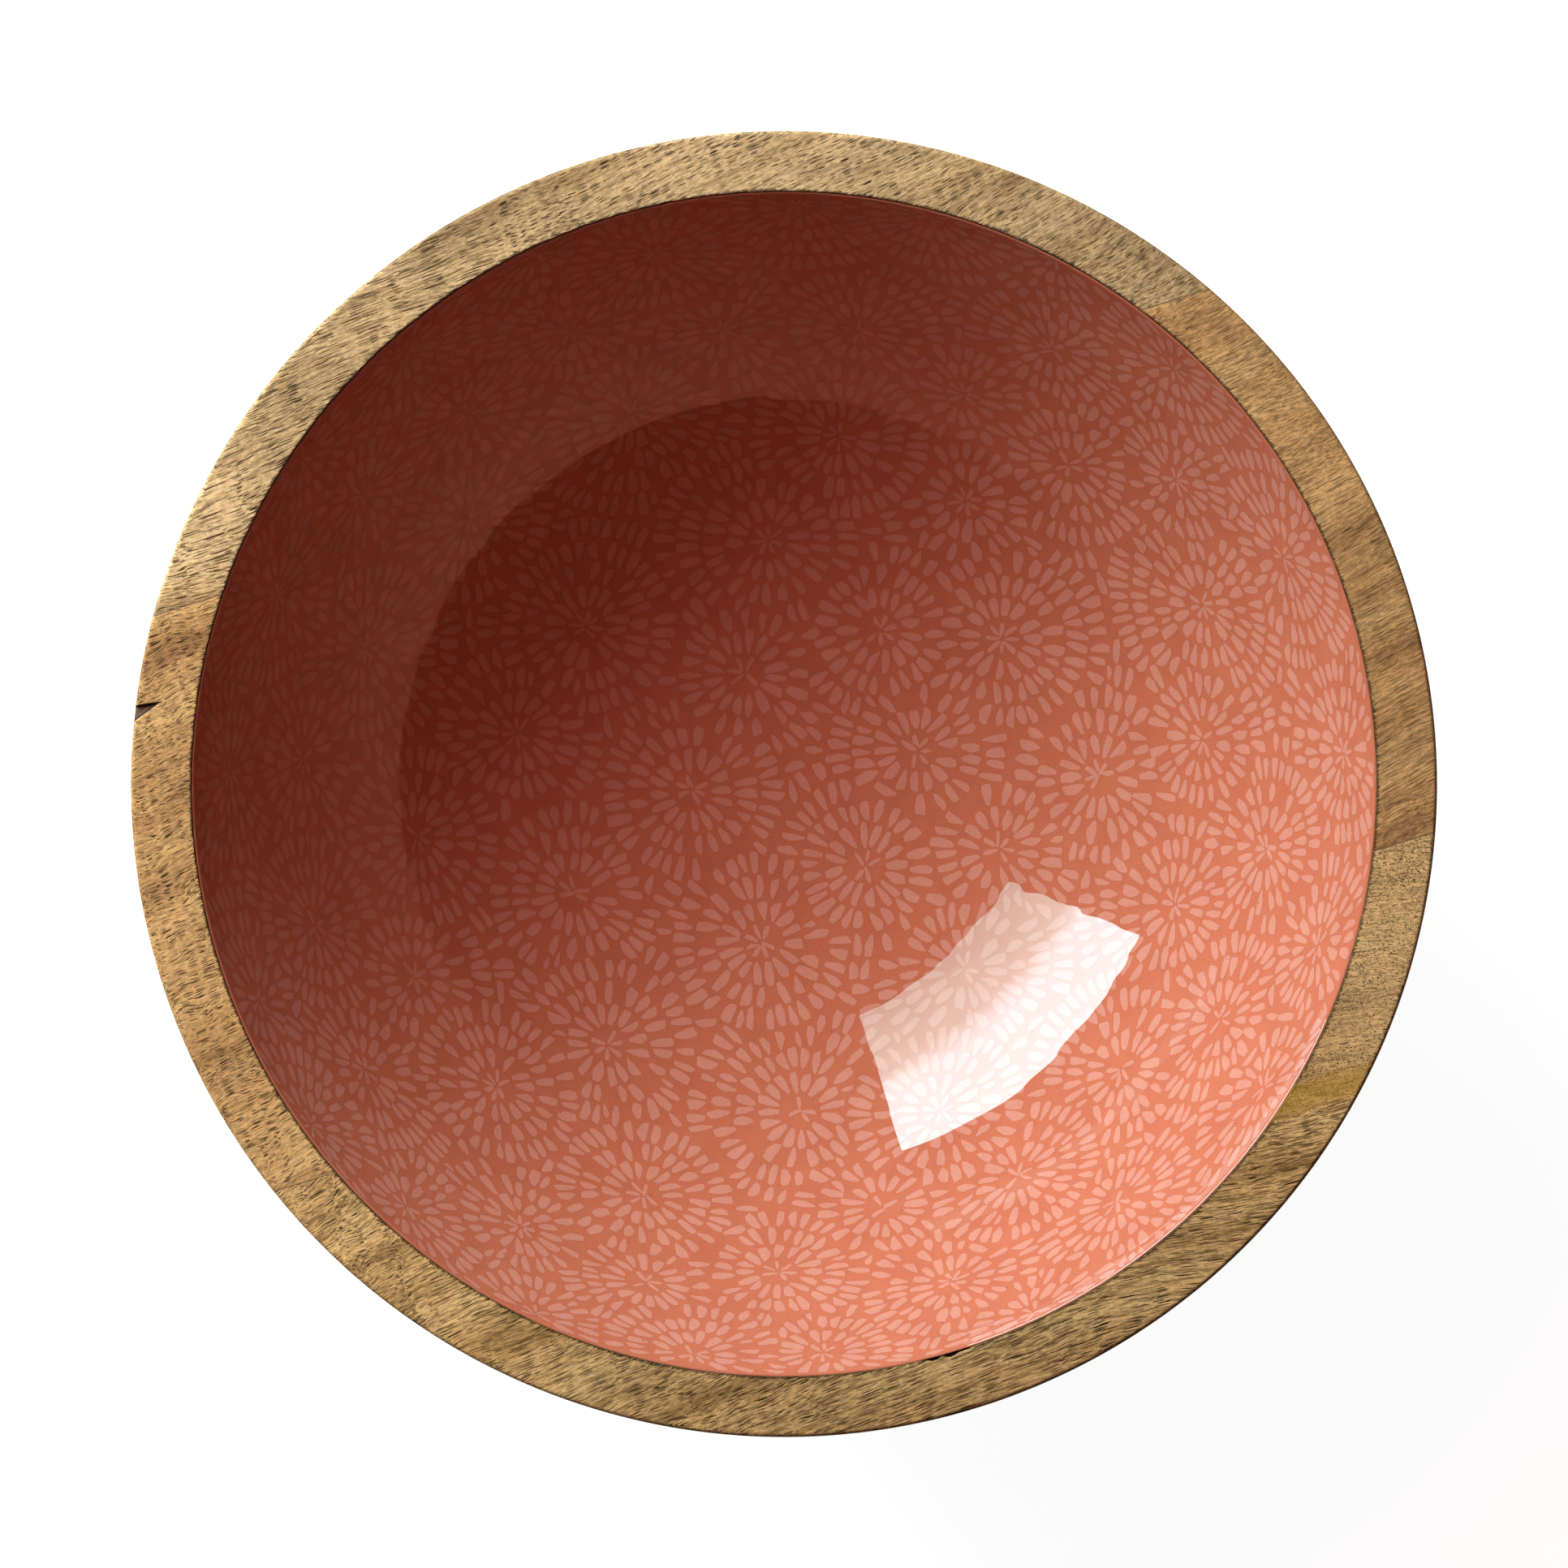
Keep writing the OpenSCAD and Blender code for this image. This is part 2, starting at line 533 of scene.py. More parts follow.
# Discs that stand for a petal: places along its length, and shares of its width
DISC_PLACES = np.array([0.0, -0.38, 0.38, -0.2, 0.2])
DISC_SHARES = np.array([0.92, 0.45, 0.66, 0.74, 0.88])


def petal_outline(rng, length, width):
    """A hand-cut petal in its own millimetres: six corners, cut once, often straight on one side."""
    tail = rng.uniform(0.2, 0.6)
    head = rng.uniform(0.5, 0.9)
    belly = rng.uniform(0.85, 1.05)
    back = rng.choice((1.0, 0.9, 0.6, 0.35, 0.2)) * belly
    place = rng.uniform(-0.25, 0.4)
    lean = rng.uniform(-0.18, 0.18)
    flip = rng.choice((-1, 1))
    corners = np.array([
        [-1 - lean, tail], [place, belly], [1 + lean, head],
        [1 - lean, -head * back], [place + lean, -back], [-1 + lean, -tail * back],
    ])
    following = np.roll(corners, -1, axis=0)
    leaving = (1 - CORNER_CUT) * corners + CORNER_CUT * following
    arriving = CORNER_CUT * corners + (1 - CORNER_CUT) * following
    points = np.stack([leaving, arriving], 1).reshape(-1, 2)
    points[:, 1] -= (points[:, 1].max() + points[:, 1].min()) / 2
    half = abs(points).max(axis=0)
    return points / half * [length / 2, flip * width / 2]


class Print:
    """The printed petals, laid one by one where they don't touch each other."""

    def __init__(self, seed):
        self.rng = np.random.default_rng(seed)
        self.lining = Lining()
        self.taken = Taken()
        self.outlines = []

    def try_petals(self, places, ways, lengths, widths, gap):
        """Lays petals at flat places, pointing along flat ways, each where it is still free."""
        lining = self.lining
        away, around, stretch = lining.frame(places)
        angle = np.arctan2((ways * around).sum(1) / stretch[:, 0] ** 2, (ways * away).sum(1))
        angle += self.rng.normal(0, PETAL_SWAY, len(places))
        c, s = np.cos(angle)[:, None], np.sin(angle)[:, None]
        forwards = c * away + s * around
        sideways = c * around - s * away
        reach = DISC_PLACES[None, :, None] * lengths[:, None, None]
        centres = lining.surface(places[:, None] + reach * forwards[:, None], 0)[0].tolist()
        radii = (DISC_SHARES * widths[:, None] / 2).tolist()
        for i in np.flatnonzero(np.hypot(places[:, 0], places[:, 1]) < lining.edge - EDGE_CLEAR):
            if self.taken.is_free(centres[i], radii[i], gap):
                self.taken.add(centres[i], radii[i])
                outline = petal_outline(self.rng, lengths[i], widths[i])
                flat = places[i] + outline[:, :1] * forwards[i] + outline[:, 1:] * sideways[i]
                self.outlines.append(self.trimmed(flat))

    def trimmed(self, flat):
        """A petal's flat outline, drawn in where it would cross the edge of the lining."""
        run = np.hypot(flat[:, 0], flat[:, 1])
        low, high = run.min(), run.max()
        if high <= self.lining.edge:
            return flat
        inside = low + (run - low) * (self.lining.edge - low) / (high - low)
        return flat * (inside / run)[:, None]

    def scatter_bursts(self):
        """Flat places of the bursts' centres, no two closer than the gap."""
        kept = []
        for place in self.lining.random_places(self.rng, BURST_TRIES):
            point = self.lining.surface(place, 0)[0]
            if all(math.dist(point, other) > BURST_GAP for _, other in kept):
                kept.append((place, point))
        return np.array([place for place, _ in kept])

    def lay_ring(self, centre, ring):
        """One ring of petals round a burst's centre, as close as they go."""
        rng = self.rng
        core = ring == 0
        radius = CORE_R + RING_PITCH * ring * (1 + RING_GROWTH * ring)
        least, most = CORE_COUNT
        count = rng.integers(least, most + 1) if core else round(2 * math.pi * radius / TRY_STEP)
        angle = rng.uniform(0, 2 * math.pi) + 2 * math.pi * np.arange(count) / count
        reach = (radius + rng.normal(0, RING_SWAY, count))[:, None]
        away, around, _ = self.lining.frame(centre)
        ways = reach * (np.cos(angle)[:, None] * away + np.sin(angle)[:, None] * around)
        lengths = PETAL_L * rng.uniform(0.82, 1.15, count) * (CORE_L if core else 1)
        widths = PETAL_W * rng.uniform(0.75, 1.2, count) * (CORE_W if core else 1)
        self.try_petals(centre + ways, ways, lengths, widths, CORE_GAP if core else PETAL_GAP)

    def lay_bursts(self):
        """Whole bursts first, then the rest ring by ring, so that they meet in between."""
        bursts = self.scatter_bursts()
        for centre in bursts:
            self.lay_ring(centre, 0)
            self.lay_ring(centre, 1)
        least, most = WHOLE_RINGS
        for centre in bursts[::WHOLE_EVERY]:
            for ring in range(2, self.rng.integers(least, most + 1)):
                self.lay_ring(centre, ring)
        for ring in range(2, RINGS):
            for centre in bursts:
                self.lay_ring(centre, ring)
        self.fill_gaps(bursts)

    def fill_gaps(self, bursts):
        """Smaller petals in the places that no ring has covered."""
        rng = self.rng
        centres = self.lining.surface(bursts, 0)[0]
        for size in GAP_SIZES:
            places = self.lining.random_places(rng, GAP_TRIES)
            points = self.lining.surface(places, 0)[0]
            nearest = np.linalg.norm(points[:, None] - centres[None], axis=2).argmin(1)
            lengths = PETAL_L * size * rng.uniform(0.85, 1.1, len(places))
            widths = PETAL_W * size * rng.uniform(0.8, 1.15, len(places))
            self.try_petals(places, places - bursts[nearest], lengths, widths, PETAL_GAP)

    def mesh(self):
        """Thin closed flakes for all petals, with the lining's own normals."""
        flat = np.array(self.outlines)
        top, normal = self.lining.surface(flat, PETAL_LIFT)
        bottom = self.lining.surface(flat, -PETAL_LIFT)[0]
        verts = np.concatenate([top, bottom], 1).reshape(-1, 3)
        normals = np.concatenate([normal, normal], 1).reshape(-1, 3)
        n = PETAL_SIDES
        faces = []
        for p in range(len(flat)):
            start = 2 * n * p
            faces.append(tuple(start + i for i in range(n)))
            faces.append(tuple(start + n + i for i in reversed(range(n))))
            for i in range(n):
                k = (i + 1) % n
                faces.append((start + i, start + n + i, start + n + k, start + k))
        return verts, faces, normals


# Materials

class Graph:
    """A short way to write a material's nodes."""

    def __init__(self, name):
        self.material = bpy.data.materials.new(name)
        self.material.use_nodes = True
        self.tree = self.material.node_tree
        self.shader = self.tree.nodes["Principled BSDF"]

    def put(self, socket, value):
        """Links an output to an input socket, or sets the socket's value."""
        if isinstance(value, bpy.types.NodeSocket):
            self.tree.links.new(value, socket)
        else:
            socket.default_value = value

    def node(self, kind, inputs=(), **settings):
        """A node with its settings, and its inputs by name or number."""
        node = self.tree.nodes.new(kind)
        for key, value in settings.items():
            setattr(node, key, value)
        for key, value in dict(inputs).items():
            self.put(node.inputs[key], value)
        return node

    def math(self, operation, a, b=0.0):
        """One calculation with two numbers."""
        return self.node("ShaderNodeMath", {0: a, 1: b}, operation=operation).outputs[0]

    def grain_place(self):
        """The place on the bowl in millimetres: along the grain, across it towards the rear, and up."""
        place = self.node("ShaderNodeTexCoord").outputs["Object"]
        turn = (0, 0, -math.radians(GRAIN_ANGLE))
        to_mm = (1 / MM,) * 3
        return self.node("ShaderNodeMapping", {"Vector": place, "Rotation": turn, "Scale": to_mm}).outputs[0]

    def scaled(self, vector, scale):
        """A vector with its parts multiplied."""
        return self.node("ShaderNodeVectorMath", {0: vector, 1: scale}, operation="MULTIPLY").outputs[0]

    def cells(self, vector, size):
        """A place counted in cells of one length along the grain and one width across it."""
        length, width = size
        return self.scaled(vector, (1 / length, 1 / width, 1 / width))

    def added(self, a, b):
        """The sum of two vectors."""
        return self.node("ShaderNodeVectorMath", {0: a, 1: b}, operation="ADD").outputs[0]

    def shade(self, vector, factor):
        """A colour or vector multiplied by one number."""
        return self.node("ShaderNodeVectorMath", {0: vector, "Scale": factor}, operation="SCALE").outputs[0]

    def noise(self, vector, scale, detail, rough=0.5):
        """One noise from 0 to 1."""
        node = self.node("ShaderNodeTexNoise", {"Vector": vector, "Scale": scale, "Detail": detail,
                                                "Roughness": rough})
        return node.outputs["Fac"]

    def grain_noise(self, vector, size, detail, rough=0.5):
        """One noise whose grains have a length along the grain and a width across it."""
        return self.noise(self.cells(vector, size), 1.0, detail, rough)

    def grain_shift(self, vector, size):
        """Three noises about zero, whose grains have a length and a width."""
        cells = self.cells(vector, size)
        node = self.node("ShaderNodeTexNoise", {"Vector": cells, "Scale": 1.0, "Detail": 1.0})
        return self.added(node.outputs["Color"], (-0.5, -0.5, -0.5))

    def between(self, value, low, high, to_low=0.0, to_high=1.0):
        """A smooth step of a value from one range to another."""
        node = self.node("ShaderNodeMapRange", {"Value": value, "From Min": low, "From Max": high,
                                                "To Min": to_low, "To Max": to_high},
                         interpolation_type="SMOOTHSTEP")
        return node.outputs["Result"]

    def mix(self, share, a, b):
        """A colour with a share of another laid over it."""
        node = self.node("ShaderNodeMix", data_type="RGBA", blend_type="MIX")
        self.put(node.inputs[0], share)
        self.put(node.inputs[6], a)
        self.put(node.inputs[7], b)
        return node.outputs[2]

    def ramp(self, value, stops):
        """A colour ramp from places to colours."""
        node = self.node("ShaderNodeValToRGB", {0: value})
        elements = node.color_ramp.elements
        while len(elements) < len(stops):
            elements.new(0.5)
        for element, (place, colour) in zip(elements, stops):
            element.position = place
            element.color = colour
        return node.outputs["Color"]

    def bump(self, height, strength, depth):
        """The surface's direction, bumped by a height that is measured in a depth in millimetres."""
        node = self.node("ShaderNodeBump", {"Height": height, "Strength": strength, "Distance": depth * MM})
        return node.outputs[0]

    def finish(self, **inputs):
        """The material, with the shader's inputs by name."""
        for key, value in inputs.items():
            self.put(self.shader.inputs[key.replace("_", " ")], value)
        return self.material


def rgb(red, green, blue):
    """A colour from the 0 to 255 values that a screen shows."""
    def linear(c):
        c = c / 255
        return c / 12.92 if c <= 0.04045 else ((c + 0.055) / 1.055) ** 2.4
    return (linear(red), linear(green), linear(blue), 1.0)


def enamel(name, colour, deep):
    """Glossy enamel of one colour, a little mottled, whose coat follows the grain of the wood below."""
    g = Graph(name)
    fibre = g.grain_place()
    cloud = g.noise(fibre, 1 / CLOUD_SIZE, 3.0)
    base = g.mix(g.between(cloud, 0.3, 0.7), deep, colour)
    grit = g.noise(fibre, GRIT_SCALE, 1.0)
    base = g.shade(base, g.between(grit, 0.25, 0.75, 0.94, 1.06))
    speck = g.node("ShaderNodeTexVoronoi", {"Vector": fibre, "Scale": 1 / SPECK_PITCH},
                   voronoi_dimensions="2D")
    base = g.mix(g.between(speck.outputs["Distance"], 0.008, 0.005, 0.0, 0.6), base, rgb(70, 24, 14))
    ridges = g.grain_noise(fibre, RIDGES, 0.0)
    swell = g.noise(fibre, 1 / SWELL_SIZE, 0.0)
    height = g.math("ADD", ridges, g.math("MULTIPLY", swell, 2.0))
    return g.finish(Base_Color=base, Roughness=0.85, Specular_IOR_Level=0.4, Coat_Weight=1.0,
                    Coat_Roughness=0.012, Coat_IOR=1.5, Coat_Normal=g.bump(height, 1.0, WAVE_H))


def grain_lines(g, turned, u, look):
    """Places along and across the grain's own lines, which lean, bow, wander and curl."""
    lean = g.math("MULTIPLY", u, -look["lean"])
    bow = g.math("MULTIPLY", g.math("MULTIPLY", u, u), look["bow"])
    shift = g.node("ShaderNodeCombineXYZ", {"Y": g.math("ADD", lean, bow)}).outputs[0]
    wander = g.grain_shift(turned, WANDERS)
    curl = g.grain_shift(turned, CURLS)
    curly = g.between(u, look["curl_from"], look["curl_to"], 0.5, look["curl"])
    fibre = g.added(g.added(turned, shift), g.scaled(wander, (0, WANDER_BY, WANDER_BY)))
    return g.added(fibre, g.shade(g.scaled(curl, (0, CURL_BY, CURL_BY)), curly))


def grain_tone(g, turned, fibre, u, v, look):
    """A board's colour without its pores: bands, brown streaks, blotches, tints and rays."""
    bands = g.grain_noise(fibre, BANDS, 4.0, 0.6)
    tone = g.ramp(bands, ((0.28, look["dark"]), (0.46, look["middle"]), (0.66, look["pale"])))
    streaks = g.grain_noise(fibre, STREAKS, 3.0, 0.65)
    tone = g.mix(g.between(streaks, 0.46, 0.62, 0.0, look["streaks"]), tone, look["dark"])
    blotch = g.grain_noise(turned, BLOTCHES, 3.0)
    tone = g.shade(tone, g.between(blotch, 0.3, 0.7, 0.88, 1.1))
    for tint in look["tints"]:
        tone = tint(g, tone, u, v)
    rays = g.grain_noise(turned, RAYS, 1.0)
    return g.shade(tone, g.between(rays, 0.3, 0.7, 0.95, 1.05))


def wood(name, look):
    """Sanded hardwood in one board's look, with fuzzy fibres, open pores, and paler or darker ends."""
    g = Graph(name)
    turned = g.grain_place()
    u, v, up = g.node("ShaderNodeSeparateXYZ", {0: turned}).outputs
    fibre = grain_lines(g, turned, u, look)
    tone = grain_tone(g, turned, fibre, u, v, look)
    fuzz = g.grain_noise(fibre, FUZZ, 2.0, 0.7)
    tone = g.shade(tone, g.between(fuzz, 0.36, 0.64, 0.75, 1.25))
    tone = g.shade(tone, g.between(u, *LEFT_END, 1.0, look["left"]))
    tone = g.shade(tone, g.between(u, *RIGHT_END, 1.0, look["right"]))

    open_pores = mixed_pores(g, turned, fibre, u, look)
    open_pores = g.math("MULTIPLY", open_pores, g.between(u, *FAINT_END, 1.0, look["faint"]))
    tone = g.mix(open_pores, tone, look["pit"])
    # Stain at the inner edge, and painted shade in the rim's split, dents and chipped edge
    tone = edge_stain_and_hole_shade(g, tone, turned, fibre, up, look["pit"])
    for mark in look["marks"]:
        tone = mark(g, tone, u, v)
    height = g.math("SUBTRACT", g.math("MULTIPLY", fuzz, 0.3), open_pores)
    rough = g.between(open_pores, 0.0, 1.0, 0.62, 0.85)
    return g.finish(Base_Color=tone, Roughness=rough, Specular_IOR_Level=0.1,
                    Normal=g.bump(height, 0.7, PORE_DEPTH))


def mixed_pores(g, turned, fibre, u, look):
    """Short and long pores, crowded in places, the long ones towards the board's end that shows lines."""
    crowd = g.grain_noise(turned, CROWDS, 1.0)
    place = g.math("ADD", u, g.math("MULTIPLY", g.math("SUBTRACT", crowd, 0.5), CROWD_BY))
    lines = g.between(place, look["dashes"], look["lines"])
    few_lines = g.math("SUBTRACT", 1.0, g.math("MULTIPLY", lines, 0.75))
    short = g.math("MULTIPLY", g.between(crowd, 0.3, 0.65, 0.5, 0.85), few_lines)
    long = g.math("MULTIPLY", g.between(crowd, 0.3, 0.65, 1.1, 0.8), g.between(lines, 0.0, 1.0, 0.3, 1.0))
    return g.math("MAXIMUM", pores(g, fibre, look["short"], short), pores(g, fibre, look["long"], long))


def pores(g, fibre, length, share):
    """A mask of open pores: a share of slim cells along the grain, each with its own size and depth."""
    cell = g.node("ShaderNodeTexVoronoi", {"Vector": g.cells(fibre, (length, PORE_W)), "Scale": 1.0})
    chance, depth, _ = g.node("ShaderNodeSeparateColor", {0: cell.outputs["Color"]}).outputs
    radius = g.between(g.math("ADD", chance, share), 1.0, 1.35, 0.0, PORE_REACH)
    shape = g.between(g.math("SUBTRACT", radius, cell.outputs["Distance"]), 0.0, PORE_EDGE)
    return g.math("MULTIPLY", shape, g.between(depth, 0.0, 1.0, 0.6, 1.0))


def edge_stain_and_hole_shade(g, tone, turned, fibre, up, pit):
    """Dark enamel drawn into the fibres at the inner edge of the rim, and painted shade: dark brown on wood
    below the rim's top, in its split, its dents and behind its chipped edge.
    """
    flat = g.scaled(turned, (1, 1, 0))
    radius = g.node("ShaderNodeVectorMath", {0: flat}, operation="LENGTH").outputs["Value"]
    near_top = g.math("GREATER_THAN", up, BOWL_H - STAIN_AND_SHADE_DEPTH)
    ragged = g.grain_noise(fibre, RAGS, 2.0)
    drawn = g.math("SUBTRACT", radius, g.math("MULTIPLY", ragged, STAIN_REACH))
    stain = g.between(drawn, HOLLOW_EDGE[0] - STAIN_START, HOLLOW_EDGE[0] - STAIN_FULL, 0.0, 0.8)
    tone = g.mix(g.math("MULTIPLY", stain, near_top), tone, pit)
    # Painted shade: wood in the split, the dents and behind the chipped edge is darkened by its depth below
    # the rim's top
    hole_shade = g.math("MULTIPLY", g.between(up, BOWL_H - HOLE_SHADE_START, BOWL_H - HOLE_SHADE_FULL), near_top)
    hole_shade = g.math("MULTIPLY", hole_shade, g.math("LESS_THAN", radius, BOWL_R - HOLE_SHADE_CLEAR))
    return g.mix(hole_shade, tone, rgb(58, 36, 24))


def bark_pocket(g, tone, u, v):
    """A wedge of dark bark that grew into the wood, open at the outer edge of the rim."""
    run = g.math("DIVIDE", g.math("SUBTRACT", u, POCKET_FROM), POCKET_L)
    middle = g.math("ADD", g.math("MULTIPLY", run, POCKET_RISE), POCKET_V)
    half = g.math("MULTIPLY", g.math("SUBTRACT", 1.0, run), POCKET_HALF)
    depth = g.math("SUBTRACT", half, g.math("ABSOLUTE", g.math("SUBTRACT", v, middle)))
    tone = g.mix(g.between(depth, -0.1, 0.1), tone, rgb(34, 23, 15))
    return g.mix(g.between(depth, 0.25, 0.5, 0.0, 0.9), tone, rgb(122, 92, 68))


def bleached_end(g, tone, u, v):
    """The paler, greyer end of the front board behind its yellow streak, where the lines fade."""
    behind = g.between(v, STREAK_V - 4.0, STREAK_V + 4.0)
    bleach = g.math("MULTIPLY", g.between(u, *BLEACHED_END, 0.0, 0.6), behind)
    return g.mix(bleach, tone, rgb(198, 164, 117))


def yellow_streak(g, tone, u, v):
    """A band of yellow stain along the grain, strongest towards one end."""
    from_middle = g.math("ABSOLUTE", g.math("SUBTRACT", v, STREAK_V))
    strength = g.between(u, -20.0, 70.0, 0.12, 0.6)
    stain = g.math("MULTIPLY", g.between(from_middle, 3.6, 1.6), strength)
    return g.mix(stain, tone, rgb(196, 150, 44))


def glue(name):
    """A thin dark film of cured wood glue."""
    g = Graph(name)
    place = g.node("ShaderNodeTexCoord").outputs["Object"]
    spots = g.noise(place, 1 / (1.5 * MM), 2.0)
    tone = g.ramp(spots, ((0.35, rgb(112, 82, 50)), (0.7, rgb(150, 112, 70))))
    return g.finish(Base_Color=tone, Roughness=0.6)


# Stage

# Framing: the photograph's side and the bowl's radius in its pixels, and the camera's height over the rim
PHOTO_SIDE = 1932
PHOTO_BOWL_R = 805.14
CAMERA_REACH = 1600.0
SENSOR_W = 36

# Window panel: its direction, half its width, its top and its foot in degrees seen from the bowl
LIGHT_AZIMUTH = 132.5
LIGHT_SPREAD = 24.5
LIGHT_TOP = 60.0
LIGHT_LOW = 6.0
LIGHT_DISTANCE = 1200.0

# Levels of the panel: shares of its height from the foot, radiances, and how warm the colour is
LIGHT_PROFILE = ((0.0, 2.2, 0.0), (0.15, 6.6, 0.0), (0.26, 14.5, 0.0), (0.39, 9.8, 0.3), (0.53, 5.4, 1.0),
                 (0.66, 1.0, 1.0), (0.9, 3.5, 1.0))
LIGHT_COOL = (0.95, 1.2, 1.16)
LIGHT_WARM = (1.02, 0.34, 0.28)

# Twin of the panel for the gloss, with levels of its own
SHINE_DISTANCE = 1180.0
SHINE_PROFILE = ((0.0, 15.5, 0.0), (0.38, 15.5, 0.0), (0.55, 8.3, 1.0), (0.72, 7.3, 1.0), (1.0, 5.8, 1.0))
SHINE_COOL = (0.7, 1.03, 1.12)
SHINE_WARM = (0.66, 1.06, 1.0)

# World and floor: greys, the floor's half width in metres, and its lift towards white
WORLD_GREY = 0.004
FLOOR_GREY = 0.6
FLOOR_HALF = 12.0
FLOOR_LIFT = 0.95


def add_camera():
    """A camera straight above the bowl, framed as the photograph is."""
    data = bpy.data.cameras.new("camera")
    side = BOWL_R * PHOTO_SIDE / PHOTO_BOWL_R
    data.sensor_fit = "HORIZONTAL"
    data.sensor_width = SENSOR_W
    data.lens = data.sensor_width * CAMERA_REACH / side
    data.clip_end = 100
    camera = bpy.data.objects.new("camera", data)
    camera.location = (0, 0, (BOWL_H + CAMERA_REACH) * MM)
    bpy.context.scene.collection.objects.link(camera)
    bpy.context.scene.camera = camera


def fade_panel(data, profile, peak, cool, warm):
    """Gives a panel its levels and colours from its foot to its top."""
    data.use_nodes = True
    tree = data.node_tree
    place = tree.nodes.new("ShaderNodeNewGeometry").outputs["Parametric"]
    split = tree.nodes.new("ShaderNodeSeparateXYZ")
    tree.links.new(place, split.inputs[0])
    fade = tree.nodes.new("ShaderNodeValToRGB")
    fade.color_ramp.interpolation = "EASE"
    while len(fade.color_ramp.elements) < len(profile):
        fade.color_ramp.elements.new(0.5)
    for element, (height, level, warmth) in zip(fade.color_ramp.elements, profile):
        element.position = height
        tint = [c + (w - c) * warmth for c, w in zip(cool, warm)]
        element.color = (*(level / peak * c for c in tint), 1)
    tree.links.new(split.outputs[1], fade.inputs[0])
    tree.links.new(fade.outputs[0], tree.nodes["Emission"].inputs["Color"])


def add_window_panel(name, distance, profile, cool, warm):
    """One upright soft panel behind and to the left of the bowl."""
    width = 2 * distance * math.tan(math.radians(LIGHT_SPREAD)) * MM
    low = (distance * math.tan(math.radians(LIGHT_LOW)) + BOWL_H) * MM
    top = (distance * math.tan(math.radians(LIGHT_TOP)) + BOWL_H) * MM
    peak = max(level for _, level, _ in profile)
    data = bpy.data.lights.new(name, "AREA")
    data.shape = "RECTANGLE"
    data.size = width
    data.size_y = top - low
    data.energy = peak * math.pi * width * (top - low)
    fade_panel(data, profile, peak, cool, warm)
    light = bpy.data.objects.new(name, data)
    azimuth = math.radians(LIGHT_AZIMUTH)
    light.location = (distance * MM * math.cos(azimuth), distance * MM * math.sin(azimuth), (low + top) / 2)
    light.rotation_euler = (math.radians(90), 0, azimuth + math.radians(90))
    light.visible_camera = False
    bpy.context.scene.collection.objects.link(light)
    return light


def add_world():
    """An almost dark world, so that the panel gives the light."""
    world = bpy.data.worlds.new("studio")
    world.use_nodes = True
    colour = (WORLD_GREY, WORLD_GREY, WORLD_GREY, 1)
    world.node_tree.nodes["Background"].inputs["Color"].default_value = colour
    bpy.context.scene.world = world


def floor_paint():
    """A pale matt paint, lifted towards white where it is seen, which keeps the bowl's shadow."""
    material = bpy.data.materials.new("white_floor")
    material.use_nodes = True
    tree = material.node_tree
    shader = tree.nodes["Principled BSDF"]
    shader.inputs["Base Color"].default_value = (FLOOR_GREY, FLOOR_GREY, FLOOR_GREY, 1)
    shader.inputs["Roughness"].default_value = 0.9
    shader.inputs["Specular IOR Level"].default_value = 0.0
    path = tree.nodes.new("ShaderNodeLightPath")
    seen = path.outputs["Is Camera Ray"]
    for name in ("Is Glossy Ray", "Is Transmission Ray"):
        total = tree.nodes.new("ShaderNodeMath")
        total.operation = "MAXIMUM"
        tree.links.new(seen, total.inputs[0])
        tree.links.new(path.outputs[name], total.inputs[1])
        seen = total.outputs[0]
    lift = tree.nodes.new("ShaderNodeMath")
    lift.operation = "MULTIPLY"
    lift.inputs[1].default_value = FLOOR_LIFT
    tree.links.new(seen, lift.inputs[0])
    shader.inputs["Emission Color"].default_value = (1, 1, 1, 1)
    tree.links.new(lift.outputs[0], shader.inputs["Emission Strength"])
    return material


def add_floor():
    """A wide pale floor."""
    corners = [(FLOOR_HALF * x, FLOOR_HALF * y, 0) for x, y in ((-1, -1), (1, -1), (1, 1), (-1, 1))]
    mesh = bpy.data.meshes.new("floor")
    mesh.from_pydata(corners, [], [(0, 1, 2, 3)])
    mesh.materials.append(floor_paint())
    floor = bpy.data.objects.new("floor", mesh)
    bpy.context.scene.collection.objects.link(floor)


# Assembly

WOOD = wood_mesh()

# Looks of the boards: colours; how bright the left and the right end are, how strong the pores stay at the
# right end, and how strong the streaks are; how long short and long pores are, and where they change over;
# how much the lines of the grain lean, bow and curl, and where; what tints the wood below its pores, and what
# marks it above
rear_wood = wood("rear_wood", {
    "pale": rgb(245, 207, 156), "middle": rgb(232, 193, 140), "dark": rgb(168, 131, 87),
    "pit": rgb(50, 29, 14),
    "left": 1.35, "right": 0.8, "faint": 0.85, "streaks": 0.6,
    "short": 2.6, "long": 8.0, "dashes": 20.0, "lines": -70.0,
    "lean": 0.14, "bow": -0.0004, "curl_from": -60.0, "curl_to": -100.0, "curl": 0.8,
    "tints": (), "marks": (),
})
middle_wood = wood("middle_wood", {
    "pale": rgb(251, 202, 138), "middle": rgb(237, 183, 120), "dark": rgb(168, 121, 77),
    "pit": rgb(50, 28, 13),
    "left": 1.0, "right": 0.89, "faint": 0.62, "streaks": 0.45,
    "short": 2.8, "long": 6.0, "dashes": -40.0, "lines": 60.0,
    "lean": 0.17, "bow": 0.0, "curl_from": -40.0, "curl_to": -80.0, "curl": 1.5,
    "tints": (), "marks": (bark_pocket,),
})
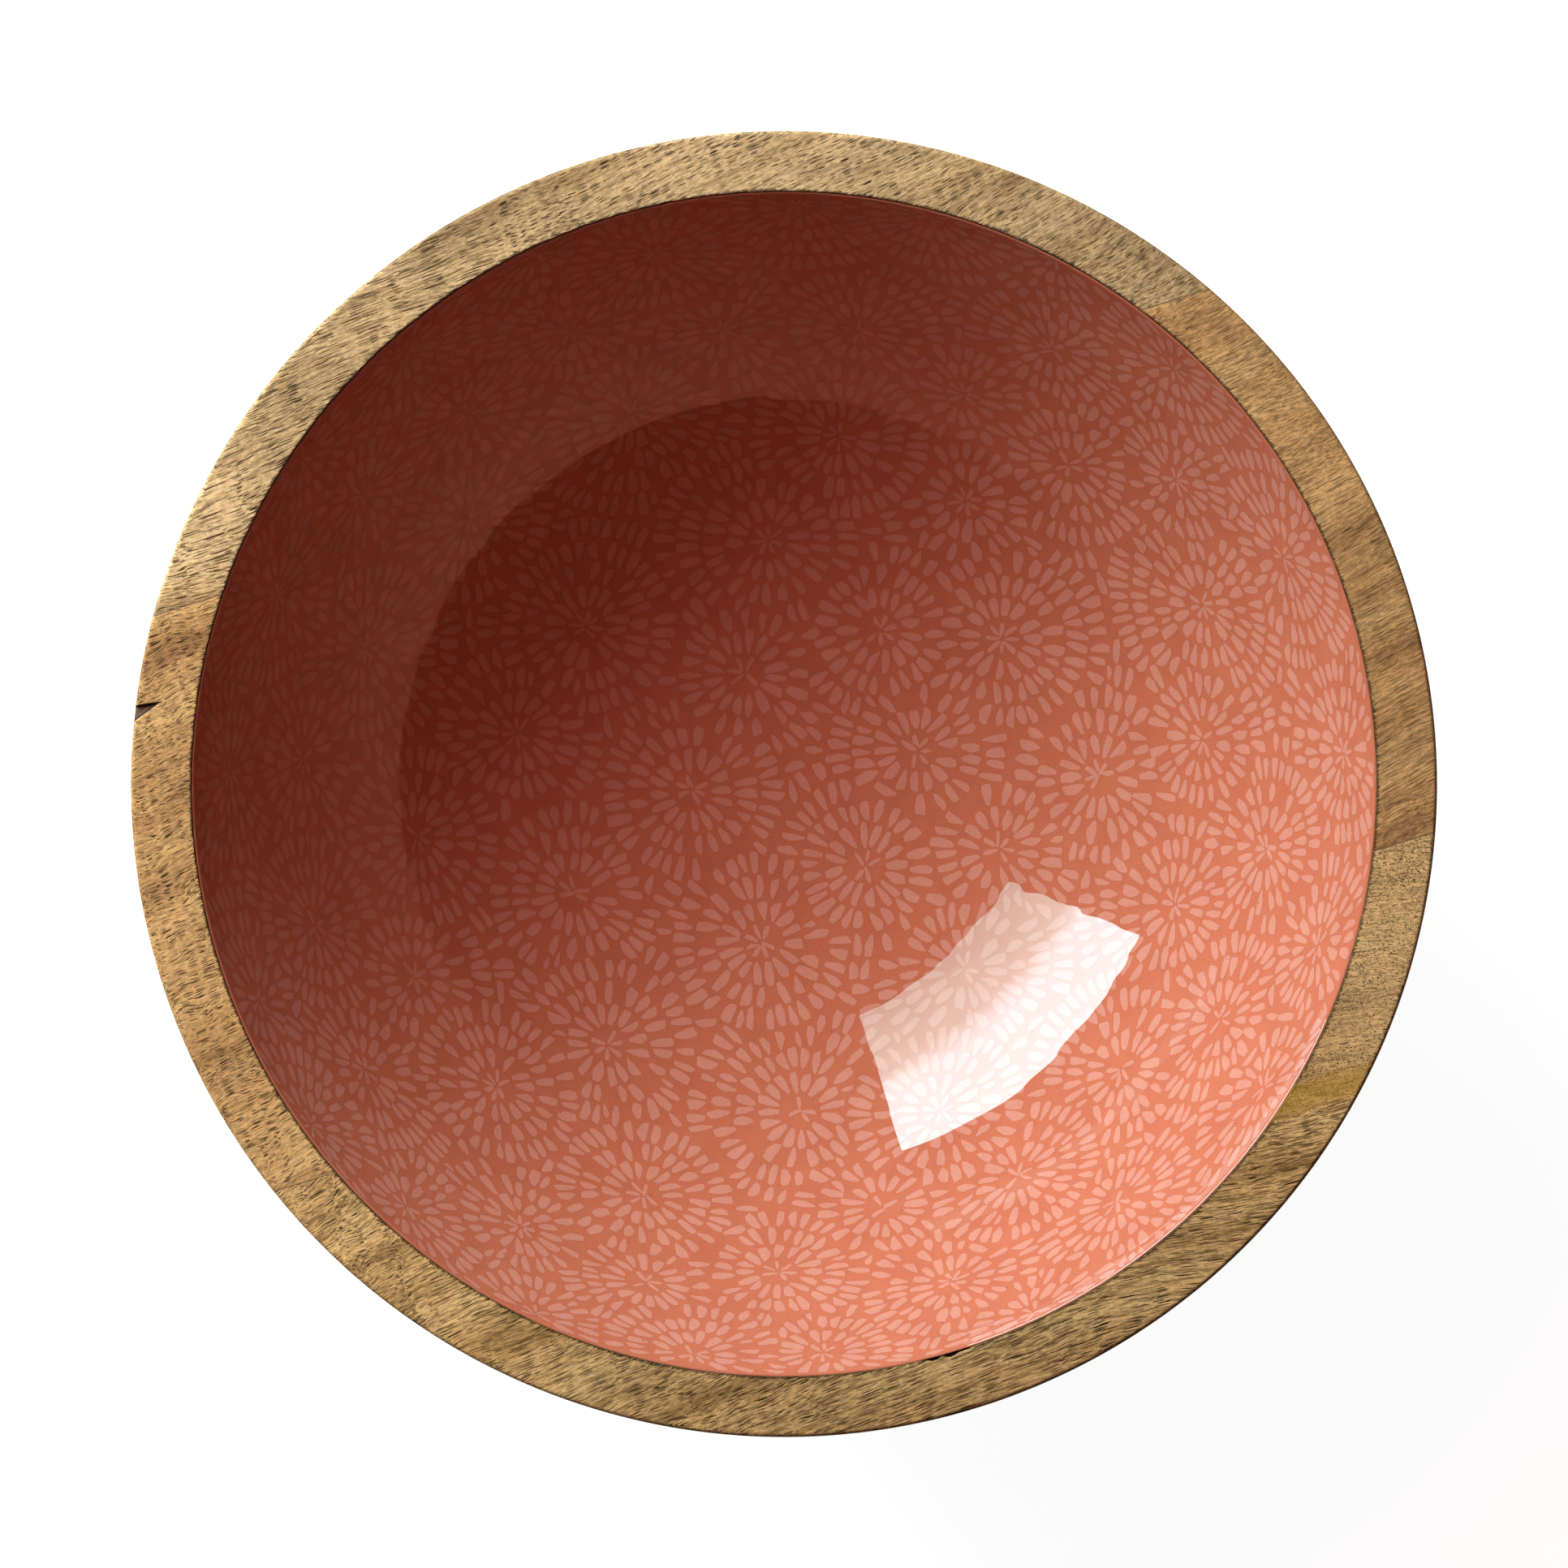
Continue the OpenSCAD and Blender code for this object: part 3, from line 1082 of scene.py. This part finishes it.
front_wood = wood("front_wood", {
    "pale": rgb(242, 202, 139), "middle": rgb(227, 182, 121), "dark": rgb(150, 113, 67),
    "pit": rgb(46, 27, 12),
    "left": 1.3, "right": 1.5, "faint": 1.0, "streaks": 0.65,
    "short": 0.4, "long": 6.0, "dashes": 88.0, "lines": 66.0,
    "lean": 0.0, "bow": 0.0011, "curl_from": -85.0, "curl_to": -105.0, "curl": 2.4,
    "tints": (bleached_end,), "marks": (yellow_streak,),
})
wood_glue = glue("wood_glue")

# Pieces of wood and glue: front and rear faces across the grain, material, replaced node and slot
half_glue = GLUE_T / 2
pieces = (
    ("rear_board_wood", REAR_JOINT + half_glue, None, rear_wood, "rear_board", "rear_wood"),
    ("middle_board_wood", FRONT_JOINT + half_glue, REAR_JOINT - half_glue, middle_wood, "middle_board",
     "middle_wood"),
    ("front_board_wood", None, FRONT_JOINT - half_glue, front_wood, "front_board", "front_wood"),
    ("rear_glue_film", REAR_JOINT - half_glue, REAR_JOINT + half_glue, wood_glue, "rear_glue_line",
     "wood_glue"),
    ("front_glue_film", FRONT_JOINT - half_glue, FRONT_JOINT + half_glue, wood_glue, "front_glue_line",
     "wood_glue"),
)
for name, front, rear, material, node, slot in pieces:
    piece = cut_board(name, front, rear, material)
    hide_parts(node)

ground = enamel("coral_enamel", rgb(216, 120, 85), rgb(211, 114, 79))
lining = mesh_object("enamel_lining", *lining_mesh(), ground)
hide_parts("ground_coat", "clear_coat")

ink = enamel("petal_ink", rgb(229, 154, 133), rgb(224, 147, 126))
petal_print = Print(PETAL_SEED)
petal_print.lay_bursts()
petal_verts, petal_faces, petal_normals = petal_print.mesh()
petals = mesh_object("printed_petals", petal_verts, petal_faces, ink, ALL_SMOOTH)
petals.data.normals_split_custom_set_from_vertices(petal_normals.tolist())
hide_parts("petal_print")

add_camera()
light = add_window_panel("window_light", LIGHT_DISTANCE, LIGHT_PROFILE, LIGHT_COOL, LIGHT_WARM)
light.visible_glossy = False
shine = add_window_panel("window_shine", SHINE_DISTANCE, SHINE_PROFILE, SHINE_COOL, SHINE_WARM)
shine.visible_diffuse = False
add_world()
add_floor()
bpy.context.scene.view_settings.view_transform = "Standard"
